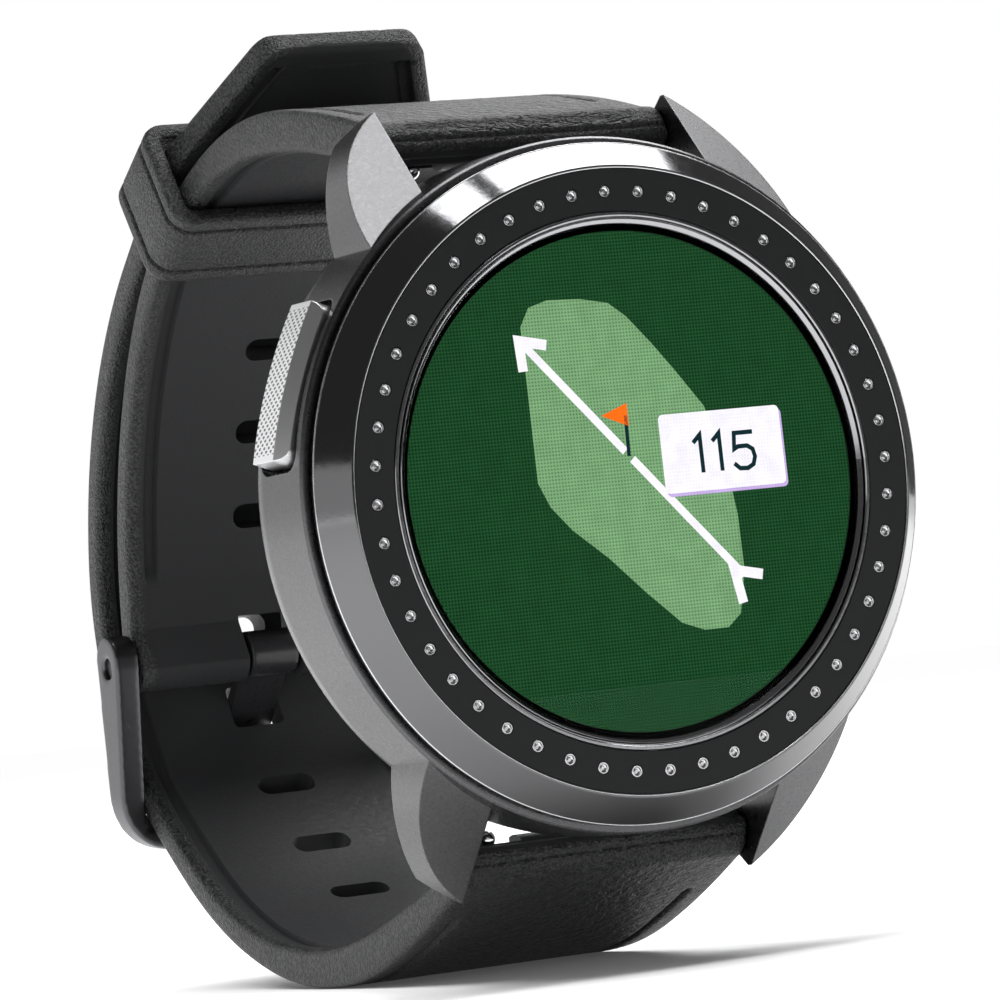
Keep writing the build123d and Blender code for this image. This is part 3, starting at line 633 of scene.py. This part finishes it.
def barrel_stations(centre, heading, radius, outward, at_end=False, crinkle=0.0, steps=17):
    """Half-round end of a strap round a bar: outward is +1 where the outer face is left of heading."""
    hy, hz = math.cos(math.radians(heading)), math.sin(math.radians(heading))
    ny, nz = -hz * outward, hy * outward
    out = []
    for k in range(steps):
        turned = 88.0 * (1 - k / (steps - 1))
        angle = math.radians(turned)
        r = radius - (0.0 if at_end else 0.13 * math.exp(-((turned - 66.0) / 5.0) ** 2))
        back = r * math.sin(angle) * (1 if at_end else -1)
        w = max(r * math.cos(angle), 0.12)
        by, bz = centre[0] + hy * back, centre[1] + hz * back
        run = -radius * angle
        out.append(dict(o=(by + ny * w, bz + nz * w), n=(-ny, -nz), t=2 * w, h=HALF, s=run,
                        grain=0.0 if at_end else 0.6, wrinkle=creases(run, crinkle)))
    if at_end:
        out.reverse()
    return out


def arc_length(arcs):
    return sum(radius * math.radians(abs(turn)) for radius, turn in arcs)


def spread(outer, total, side, depth):
    """Places along a strap: (s, y, z, inward normal, thickness), the thickness from depth(s, point, normal).

    side is +1 where the outer face is left of its heading.
    Where depth finds nothing, the nearest thickness that was found counts."""
    found = []
    for s in marks(total):
        (y, z), heading = point_at(outer, s)
        a = math.radians(heading)
        normal = (side * math.sin(a), -side * math.cos(a))
        found.append((s, y, z, normal, depth(s, (y, z), normal)))
    known = [row for row in found if row[4]]
    return [(s, y, z, normal, t or min(known, key=lambda row: abs(row[0] - s))[4])
            for s, y, z, normal, t in found]


def finish_strap(strap, outer, slots, more_cutters, bar_z, source):
    """Cuts the slots, the bar's hole and the notch for its release, and takes the CAD strap's place."""
    inner_z, outer_z = sorted((math.copysign(19, bar_z), math.copysign(23.7, bar_z)))
    cutters = [slot_cutter(*point_at(outer, s), SLOT_HEIGHT) for s in slots] + more_cutters
    cutters.append(box_cutter((-8.75, -5.9), (10.7, 12.7), (inner_z, outer_z)))
    cutters.append(rod_cutter(BAR_Y, bar_z, BAR_HOLE))
    cut(strap, cutters)
    smooth(strap, 42)
    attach(strap, "watch")
    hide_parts(source)


def short_strap():
    """12 o'clock half: thick at the lugs, with the buckle's pin in its far end."""
    outer = walk(*SHORT_OUTER)
    inner = walk(*SHORT_INNER, step=0.25)
    total = sum(math.hypot(b[0] - a[0], b[1] - a[1]) for a, b in zip(outer, outer[1:]))
    stations = barrel_stations((BAR_Y, BAR_Z), SHORT_OUTER[1], BAR_WRAP, 1, crinkle=1.0)
    for s, y, z, normal, t in spread(outer, total, 1, lambda s, point, normal: pierce(point, normal, inner)):
        stations.append(dict(o=(y, z), n=normal, h=HALF, s=s,
                             t=blended(t, bulge((y, z), normal, PIN, PIN_WRAP), 1.3),
                             og=ease(s, 3.0, 4.5) * (1 - ease(s, 30, 34)),
                             ig=ease(s, 3, 5) * (1 - ease(s, total - 5.0, total - 3.4)),
                             grain=1.0 - 0.75 * ease(s, 26, 36), wrinkle=creases(s)))
    stations += barrel_stations(PIN, PIN_HEADING, PIN_WRAP, 1, at_end=True)[1:]
    strap = build_strap("short_strap_rubber", stations)
    pin_cutters = [box_cutter((-2.3, 2.3), (52, 68), (-14, -5.0)), rod_cutter(*PIN, PIN_HOLE)]
    finish_strap(strap, outer, SHORT_SLOTS, pin_cutters, BAR_Z, "short_strap")


def long_strap():
    """6 o'clock half: thick at the lugs, then even, with a clipped tail."""
    arcs = LONG_OUTER[2]
    joint = arc_length(arcs[:2])
    total = arc_length(arcs) + TAIL
    (jy, jz), heading = point_at(walk(*LONG_OUTER), joint)
    turned = math.radians(heading)
    start = (jy - math.sin(turned) * THICK, jz + math.cos(turned) * THICK)
    back = walk(start, heading + 180, LONG_BACK, step=0.25)
    outer = walk(LONG_OUTER[0], LONG_OUTER[1], arcs + [(None, TAIL)])

    def depth(s, point, normal):
        return THICK if s >= joint else pierce(point, normal, back)

    stations = barrel_stations((BAR_Y, -BAR_Z), LONG_OUTER[1], BAR_WRAP, -1, crinkle=LONG_CREASE)
    for s, y, z, normal, t in spread(outer, total, -1, depth):
        left = total - s
        h = HALF if left > TAPER else TIP_HALF + (HALF - TIP_HALF) * left / TAPER
        if left < TIP_R:
            h -= TIP_R - math.sqrt(max(0.0, TIP_R ** 2 - (TIP_R - left) ** 2))
        tip_round = 0.0 if left > 0.5 else 0.4 * (1 - left / 0.5) ** 2
        before_tip = 1 - ease(s, total - 1.9, total - 1.5)
        stations.append(dict(o=(y + normal[0] * tip_round, z + normal[1] * tip_round), n=normal,
                             t=t - 2 * tip_round, h=h, s=s,
                             og=ease(s, 3.5, 5.0), ig=ease(s, 3, 5) * before_tip,
                             panel=0.3 * ease(s, total - 14.5, total - 13.5) * before_tip,
                             grain=(1.0 - 0.8 * ease(s, 34, 44)) * ease(left, 0.3, 1.5),
                             wrinkle=creases(s, LONG_CREASE)))
    strap = build_strap("long_strap_rubber", stations)
    tang_cutter = slot_cutter(*point_at(outer, TANG_SLOT), 3.3, width=4.1, corner=0.4)
    finish_strap(strap, outer, LONG_SLOTS, [tang_cutter], -BAR_Z, "long_strap")


short_strap()
long_strap()


# ---------------------------------------------------------------- keeper
KEEPER_TURN = math.radians(58.0)   # place on the strap's main curve, from straight behind the dial
LOOP = (28.785, -1.72)             # centre of that curve, depth and height
KEEPER_OPEN = (27.75, 34.45)       # opening, from and to, off that centre
KEEPER_HALF_X = 11.1
KEEPER_WALL = 1.25
KEEPER_CORNER = 0.5
KEEPER_LONG = 3.5                  # half the keeper's length along the strap
KEEPER_BEVEL = 0.42


def keeper_profile():
    """Section of the wall: bevelled rims and two grooves outside, as (along the strap, outward)."""
    wall, bevel, end = KEEPER_WALL, KEEPER_BEVEL, KEEPER_LONG
    groove = [(-2.55, 0), (-2.4, 0.05), (-2.3, 0.24), (-2.12, 0.24), (-2.02, 0.05), (-1.87, 0)]
    rim = [(-end, bevel), (-end + bevel * 0.3, bevel * 0.25), (-end + bevel, 0)]
    half = [(t, wall - sunk) for t, sunk in rim + groove]
    outside = half + [(0, wall)] + [(-t, w) for t, w in reversed(half)]
    inside = [(end, 0.3), (end - 0.12, 0.05), (end - 0.35, 0.0), (0, 0.0)]
    return outside + inside + [(-t, w) for t, w in reversed(inside[:-1])]


def keeper_path():
    """Round the opening's corners: (across, outward from the loop's centre, direction)."""
    mid = sum(KEEPER_OPEN) / 2
    reach_x = KEEPER_HALF_X - KEEPER_CORNER
    reach_r = (KEEPER_OPEN[1] - KEEPER_OPEN[0]) / 2 - KEEPER_CORNER
    path = []
    for sx, sr, a0 in ((1, 1, 0), (-1, 1, 90), (-1, -1, 180), (1, -1, 270)):
        for k in range(7):
            a = math.radians(a0 + 15 * k)
            path.append((sx * reach_x, mid + sr * reach_r, math.cos(a), math.sin(a)))
    dense = []
    for i, p in enumerate(path):
        q = path[(i + 1) % len(path)]
        dense.append(p)
        if abs(p[2] - q[2]) < 1e-6 and abs(p[3] - q[3]) < 1e-6:
            for k in range(1, 12):
                f = k / 12
                dense.append((p[0] + (q[0] - p[0]) * f, p[1] + (q[1] - p[1]) * f, p[2], p[3]))
    return dense


def keeper_loop():
    """Wall section swept round a rounded rectangle."""
    sine, cosine = math.sin(KEEPER_TURN), math.cos(KEEPER_TURN)
    path, profile = keeper_path(), keeper_profile()
    verts = []
    for x, r, cx, cr in path:
        for t, w in profile:
            px = x + cx * (KEEPER_CORNER + w)
            pr = r + cr * (KEEPER_CORNER + w)
            verts.append(at(px, LOOP[0] + cosine * pr - sine * t, LOOP[1] + sine * pr + cosine * t))
    faces = grid_faces(len(path), len(profile), closed_rows=True)
    return mesh_object("keeper_rubber", verts, faces, KEEPER_RUBBER, "keeper_loop", 50)


keeper = keeper_loop()
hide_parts("keeper")


# ---------------------------------------------------------------- buckle
def softened(name, source, voxel_mm, rounds, material, body):
    """Rounded copy of a CAD piece: remeshed finely, then relaxed so that its edges turn smooth."""
    obj = bpy.data.objects.new(name, nodes[source].data.copy())
    bpy.context.scene.collection.objects.link(obj)
    remesh = obj.modifiers.new("remesh", "REMESH")
    remesh.mode = "VOXEL"
    remesh.voxel_size = voxel_mm * MM
    relax = obj.modifiers.new("relax", "SMOOTH")
    relax.factor = 0.5
    relax.iterations = rounds
    keep_result(obj)
    dress(obj, material)
    obj.data.polygons.foreach_set("use_smooth", [True] * len(obj.data.polygons))
    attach(obj, body)
    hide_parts(source)
    return obj


softened("buckle_frame_soft", "buckle_frame", 0.14, 14, DARK_STEEL, "buckle")
softened("buckle_tang_soft", "buckle_tang", 0.10, 8, TANG, "tang")


# ---------------------------------------------------------------- light steel beads on the bezel's corners, painted highlight lines
def highlight_bead(name, radius, depth, tube):
    """Fine bead on a corner of the bezel, in lighter steel than the bezel: a painted highlight line."""
    turns, sides = 240, 8
    verts = []
    for k in range(turns):
        a = 2 * math.pi * k / turns
        for j in range(sides):
            b = 2 * math.pi * j / sides
            r = radius + tube * math.cos(b)
            verts.append(at(r * math.cos(a), depth + tube * math.sin(b), r * math.sin(a)))
    return mesh_object(name, verts, grid_faces(turns, sides, closed_rows=True), HIGHLIGHT_STEEL, "watch", 60)


# Beads of light steel on the bezel's inner and outer corners: painted highlight lines.
highlight_bead("bezel_inner_highlight", 20.575, 0.03, 0.06)
highlight_bead("bezel_outer_highlight", 22.42, 2.05, 0.06)


# ---------------------------------------------------------------- display artwork (x, z in mm on the dial)
DISPLAY_Y = 0.66
LAYER_STEP = 0.012
DIGIT_LINE = 0.3
MARK_LINE = 0.7
ARROW_LINE = 0.55
LIT_DARK = lit("lit_dark_green", (0.0095, 0.050, 0.0165), 1.0, 0.9)
LIT_LIGHT = lit("lit_light_green", (0.165, 0.325, 0.155), 1.0, 0.55)
LIT_WHITE = lit("lit_white", (0.95, 0.93, 1.0), 1.0, 0.06)
LIT_LILAC = lit("lit_lilac", (0.55, 0.42, 0.75), 1.0, 0.15)
LIT_ORANGE = lit("lit_orange", (1.0, 0.16, 0.01), 1.0, 0.15)
LIT_INK = lit("lit_ink", (0.006, 0.025, 0.03), 1.0, 0.1)


def flat(name, outline, layer, material):
    """Thin plate with this outline, layer steps in front of the display."""
    front = DISPLAY_Y - LAYER_STEP * layer
    n = len(outline)
    verts = [at(x, front, z) for x, z in outline] + [at(x, front + 0.006, z) for x, z in outline]
    faces = [tuple(range(n)), tuple(reversed(range(n, 2 * n)))]
    faces += [(i, (i + 1) % n, n + (i + 1) % n, n + i) for i in range(n)]
    obj = link_mesh(name, new_mesh(name, verts, faces), triangulate=True)
    obj.data.materials.append(material)
    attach(obj, "watch")
    return obj


def stroke(name, a, b, width, layer, material):
    dx, dz = b[0] - a[0], b[1] - a[1]
    run = math.hypot(dx, dz)
    nx, nz = -dz / run * width / 2, dx / run * width / 2
    outline = [(a[0] + nx, a[1] + nz), (b[0] + nx, b[1] + nz), (b[0] - nx, b[1] - nz), (a[0] - nx, a[1] - nz)]
    return flat(name, outline, layer, material)


def bent(name, points, width, layer, material):
    """A folded line of even width as one plate."""
    left, right = [], []
    for i, p in enumerate(points):
        before = points[max(i - 1, 0)]
        after = points[min(i + 1, len(points) - 1)]
        d1 = Vector((p[0] - before[0], p[1] - before[1]))
        d2 = Vector((after[0] - p[0], after[1] - p[1]))
        d1 = d1.normalized() if d1.length else d2.normalized()
        d2 = d2.normalized() if d2.length else d1
        n1, n2 = Vector((-d1.y, d1.x)), Vector((-d2.y, d2.x))
        m = (n1 + n2).normalized()
        k = width / 2 / max(0.35, m.dot(n1))
        left.append((p[0] + m.x * k, p[1] + m.y * k))
        right.append((p[0] - m.x * k, p[1] - m.y * k))
    return flat(name, left + right[::-1], layer, material)


def rounded(x0, x1, z0, z1, r, count=5):
    points = []
    corners = ((x1 - r, z1 - r, 0), (x0 + r, z1 - r, 90), (x0 + r, z0 + r, 180), (x1 - r, z0 + r, 270))
    for cx, cz, a0 in corners:
        for k in range(count + 1):
            a = math.radians(a0 + 90 * k / count)
            points.append((cx + r * math.cos(a), cz + r * math.sin(a)))
    return points


turns = [math.radians(a * 2.5) for a in range(144)]
disc_outline = [(DISPLAY_R * math.cos(a), DISPLAY_R * math.sin(a)) for a in turns]
panel = flat("display_face", disc_outline, 0, LIT_DARK)
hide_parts("display_panel")
fairway = [(-7.04, 10.59), (-6.31, 11.81), (-4.89, 12.21), (-2.44, 12.13), (-0.41, 11.73), (0.81, 10.79),
           (2.44, 8.96), (4.07, 6.92), (5.9, 4.48), (7.12, 0.41), (7.53, -2.85), (7.57, -6.51), (6.92, -9.36),
           (5.9, -10.18), (4.07, -10.18), (2.44, -9.57), (0.0, -7.33), (-2.44, -4.89), (-4.89, -2.85),
           (-6.31, -1.22), (-7.04, 0.41)]
flat("display_green_shape", fairway, 1, LIT_LIGHT)
stroke("display_line_upper", (-6.9, 9.35), (-0.35, 1.95), ARROW_LINE, 2, LIT_WHITE)
stroke("display_line_lower", (0.12, 1.42), (7.5, -6.9), ARROW_LINE, 2, LIT_WHITE)
bent("display_mark_upper", [(-5.3, 9.3), (-7.3, 9.7), (-7.2, 7.7)], MARK_LINE, 3, LIT_WHITE)
bent("display_mark_lower", [(8.9, -6.95), (6.8, -6.5), (7.2, -8.7)], MARK_LINE, 3, LIT_WHITE)
flat("display_flag", [(0.12, 5.1), (0.12, 3.58), (-1.85, 4.4)], 3, LIT_ORANGE)
stroke("display_flag_pole", (-0.05, 4.3), (-0.12, 1.62), 0.26, 3, LIT_INK)
flat("display_label_edge", rounded(2.45, 11.65, -1.32, 3.9, 0.35), 3, LIT_LILAC)
flat("display_label", rounded(2.32, 11.5, -1.1, 4.12, 0.35), 4, LIT_WHITE)
bent("display_digit_a", [(4.75, 2.1), (5.3, 2.6), (5.3, 0.1)], DIGIT_LINE, 5, LIT_INK)
bent("display_digit_b", [(6.2, 2.1), (6.75, 2.6), (6.75, 0.1)], DIGIT_LINE, 5, LIT_INK)
five = [(9.3, 2.5), (7.9, 2.5), (7.8, 1.45), (8.1, 1.6), (8.8, 1.6), (9.2, 1.35), (9.32, 0.85),
        (9.15, 0.35), (8.7, 0.12), (8.1, 0.15), (7.7, 0.5)]
bent("display_digit_c", five, DIGIT_LINE, 5, LIT_INK)


# ---------------------------------------------------------------- stage, light, camera
floor_z = cad_box[0][2]


def floor():
    count, radius = 96, 6.0
    verts = [(0, 0, floor_z)]
    for k in range(count):
        a = 2 * math.pi * k / count
        verts.append((radius * math.cos(a), radius * math.sin(a), floor_z))
    faces = [(0, 1 + k, 1 + (k + 1) % count) for k in range(count)]
    obj = plain_object("floor", verts, faces)
    s = Shader("floor_white", (0.93, 0.93, 0.93), 0.75)
    s.drive("Roughness", s.remap(s.noise(30.0, 2.0), 0.3, 0.7, 0.7, 0.8))
    s.put("Emission Color", (1.0, 1.0, 1.0, 1.0))
    s.put("Emission Strength", 0.05)
    obj.data.materials.append(s.mat)


floor()

world = bpy.data.worlds.new("studio")
bpy.context.scene.world = world
world.use_nodes = True
tree = world.node_tree
tree.nodes.clear()
out = tree.nodes.new("ShaderNodeOutputWorld")
mix = tree.nodes.new("ShaderNodeMixShader")
path = tree.nodes.new("ShaderNodeLightPath")
soft = tree.nodes.new("ShaderNodeBackground")
soft.inputs["Color"].default_value = (1, 1, 1, 1)
soft.inputs["Strength"].default_value = 0.10
white = tree.nodes.new("ShaderNodeBackground")
white.inputs["Color"].default_value = (1, 1, 1, 1)
white.inputs["Strength"].default_value = 1.0
tree.links.new(path.outputs["Is Camera Ray"], mix.inputs[0])
tree.links.new(soft.outputs[0], mix.inputs[1])
tree.links.new(white.outputs[0], mix.inputs[2])
tree.links.new(mix.outputs[0], out.inputs[0])

centre = at(0, 20, 0)


def softbox(name, toward, distance, size, radiance, level=(1, 0, 0)):
    """Soft light seen from the watch in a direction; level is the way its long side runs."""
    data = bpy.data.lights.new(name, "AREA")
    data.shape = "RECTANGLE"
    data.size, data.size_y = size
    data.energy = radiance * math.pi * size[0] * size[1]
    obj = bpy.data.objects.new(name, data)
    bpy.context.scene.collection.objects.link(obj)
    z = Vector(toward).normalized()
    x = Vector(level)
    x = (x - z * x.dot(z)).normalized()
    turn = Matrix((x, z.cross(x), z)).transposed().to_4x4()
    obj.matrix_world = Matrix.Translation(centre + z * distance) @ turn
    obj.visible_camera = False
    return obj


softbox("overhead_right", (0.48, 0.06, 0.92), 0.9, (0.64, 0.34), 8.0, (0.92, 0.38, 0))
softbox("overhead_left", (0.012, -0.134, 0.92), 0.9, (0.17, 0.30), 8.0, (0.92, 0.38, 0))
softbox("left_card", (-0.86, -0.44, 0.07), 1.1, (0.8, 0.34), 0.9, (0.45, -0.86, 0))
softbox("back_left", (-0.46, 0.86, 0.17), 1.1, (1.3, 0.72), 0.95, (0.86, 0.5, 0))
softbox("left_side", (-0.97, 0.22, 0.10), 1.1, (0.16, 0.7), 2.4, (0.22, 0.97, 0))
softbox("back_top", (0.50, 0.75, 0.52), 1.1, (0.6, 0.45), 2.2, (0.8, -0.6, 0))
sun_data = bpy.data.lights.new("overhead_sun", "SUN")
sun_data.energy = 3.4
sun_data.angle = math.radians(60)
sun = bpy.data.objects.new("overhead_sun", sun_data)
bpy.context.scene.collection.objects.link(sun)
sun.rotation_euler = (math.radians(-12), math.radians(-14), 0)
sun.visible_glossy = False
fill = softbox("front_left_fill", (-0.62, -0.78, 0.12), 1.1, (0.7, 0.7), 0.9, (0.78, -0.62, 0))
fill.visible_glossy = False

camera_data = bpy.data.cameras.new("camera")
camera = bpy.data.objects.new("camera", camera_data)
bpy.context.scene.collection.objects.link(camera)
right = Vector((0.88143, -0.45873, -0.11248))
up = Vector((0.08466, -0.08084, 0.99313))
forward = Vector((0.46466, 0.88489, 0.03242))
rotation = Matrix((right, up, -forward)).transposed()
camera.matrix_world = Matrix.Translation(at(-178.73, -320.86, -12.20)) @ rotation.to_4x4()
camera_data.sensor_width = 36.0
camera_data.lens = 202.77
camera_data.clip_start = 0.01
camera_data.clip_end = 50.0
bpy.context.scene.camera = camera
bpy.context.scene.view_settings.view_transform = "Standard"
